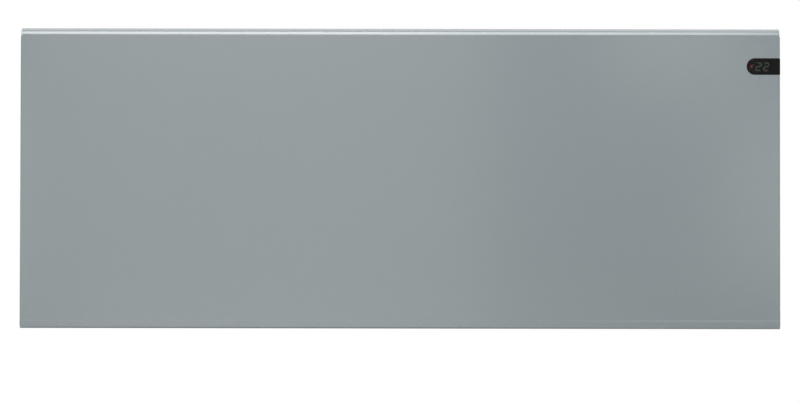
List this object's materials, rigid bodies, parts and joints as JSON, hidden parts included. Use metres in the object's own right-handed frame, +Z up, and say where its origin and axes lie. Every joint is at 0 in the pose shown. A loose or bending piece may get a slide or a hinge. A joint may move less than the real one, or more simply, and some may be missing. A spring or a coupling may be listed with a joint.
{
  "type": "electric panel heater",
  "caption": "Wide flat wall-hung electric panel heater with folded grey steel casing, slotted top and bottom, wrap-round smoked display at one edge, tilting wall bracket.",
  "frame": {"origin": "on the wall plane, at the centre of the four wall screws of the bracket", "axes": "+X to the right as seen from the room, +Y into the wall, +Z up; the front faces -Y"},
  "size_m": [0.8925, 0.0842, 0.3542],
  "materials": {
    "casing_paint": "satin grey powder coat",
    "rear_sheet": "zinc-coated sheet",
    "bracket_steel": "zinc-coated sheet",
    "bright_steel": "bright zinc",
    "spring_steel": "blued spring strip",
    "cap_plastic": "fine-grained grey moulding",
    "smoked_window": "smoked clear moulding",
    "key_plastic": "satin dark moulding",
    "black_plastic": "black moulding",
    "rocker_plastic": "gloss black moulding",
    "digit_glow": "milky diffuser",
    "red_lamp": "tinted resin",
    "board_green": "solder resist",
    "fin_aluminium": "extruded",
    "shield_aluminium": "bright rolled sheet",
    "sheath_steel": "drawn sheath",
    "terminal_brass": "plain",
    "white_ceramic": null,
    "soft_rubber": "moulded",
    "white_plastic": "natural nylon",
    "coil_yellow": "taped winding",
    "can_sleeve": "shrunk sleeve",
    "wire_brown": "silicone sleeve",
    "wire_blue": "silicone sleeve",
    "wire_green": "silicone sleeve",
    "wire_grey": "silicone sleeve"
  },
  "bodies": {
    "wall_bracket": {"bracket_arm_left": "bracket_steel", "bracket_arm_right": "bracket_steel", "bracket_crossbars": "bracket_steel", "bracket_rivets": "bright_steel", "pivot_pins": "bright_steel", "catch_springs": "spring_steel", "bumper_pads": "soft_rubber"},
    "heater": {"board_capacitor": "can_sleeve", "board_standoffs": "white_plastic", "board_transformer": "coil_yellow", "button_board": "board_green", "button_switches": "black_plastic", "cable_gland": "black_plastic", "casing_screws": "bright_steel", "catch_keeper_left": "rear_sheet", "catch_keeper_right": "rear_sheet", "catch_pins": "bright_steel", "chassis_rivets": "bright_steel", "control_partition": "rear_sheet", "cord_inlet_box": "black_plastic", "cutout_wire": "wire_brown", "display_board": "board_green", "display_carrier": "black_plastic", "display_lead": "wire_grey", "display_lens": "smoked_window", "display_module": "black_plastic", "display_segments": "digit_glow", "earth_screw": "terminal_brass", "earth_wire": "wire_green", "element_bushes": "soft_rubber", "element_fins": "fin_aluminium", "element_hangers": "rear_sheet", "element_rod": "sheath_steel", "element_terminals": "terminal_brass", "end_cap_screws": "bright_steel", "front_panel": "casing_paint", "gland_nut": "black_plastic", "hanger_saddle_left": "rear_sheet", "hanger_saddle_right": "rear_sheet", "heat_shield": "shield_aluminium", "inlet_grille": "casing_paint", "left_end_cap": "cap_plastic", "live_wire": "wire_brown", "mains_switch_body": "black_plastic", "neutral_wire": "wire_blue", "outlet_grille": "casing_paint", "partition_grommet": "soft_rubber", "power_board": "board_green", "power_relay": "black_plastic", "rear_panel": "rear_sheet", "right_end_cap": "cap_plastic", "room_sensor": "white_plastic", "status_led": "red_lamp", "terminal_block": "white_plastic", "terminal_insulators": "white_ceramic", "thermal_cutout": "black_plastic"},
    "minus_key": {"minus_key": "key_plastic"},
    "menu_key": {"menu_key": "key_plastic"},
    "plus_key": {"plus_key": "key_plastic"},
    "mains_rocker": {"mains_rocker": "rocker_plastic"}
  },
  "joints": [
    {"name": "heater_tilt", "type": "hinge", "parent": "wall_bracket", "child": "heater", "pos_m": [0, -0.012, -0.146], "axis": [1, 0, 0], "range_deg": [0, 20], "deforming": ["catch_springs"]},
    {"name": "minus_key_press", "type": "slide", "parent": "heater", "child": "minus_key", "axis": [-1, 0, 0], "range_m": [0, 0.0007], "stiffness_N_per_m": 400},
    {"name": "menu_key_press", "type": "slide", "parent": "heater", "child": "menu_key", "axis": [-1, 0, 0], "range_m": [0, 0.0007], "stiffness_N_per_m": 400},
    {"name": "plus_key_press", "type": "slide", "parent": "heater", "child": "plus_key", "axis": [-1, 0, 0], "range_m": [0, 0.0007], "stiffness_N_per_m": 400},
    {"name": "mains_rocker_tip", "type": "hinge", "parent": "heater", "child": "mains_rocker", "pos_m": [0.443, -0.05, -0.11], "axis": [0, 1, 0], "range_deg": [-20, 0]}
  ]
}
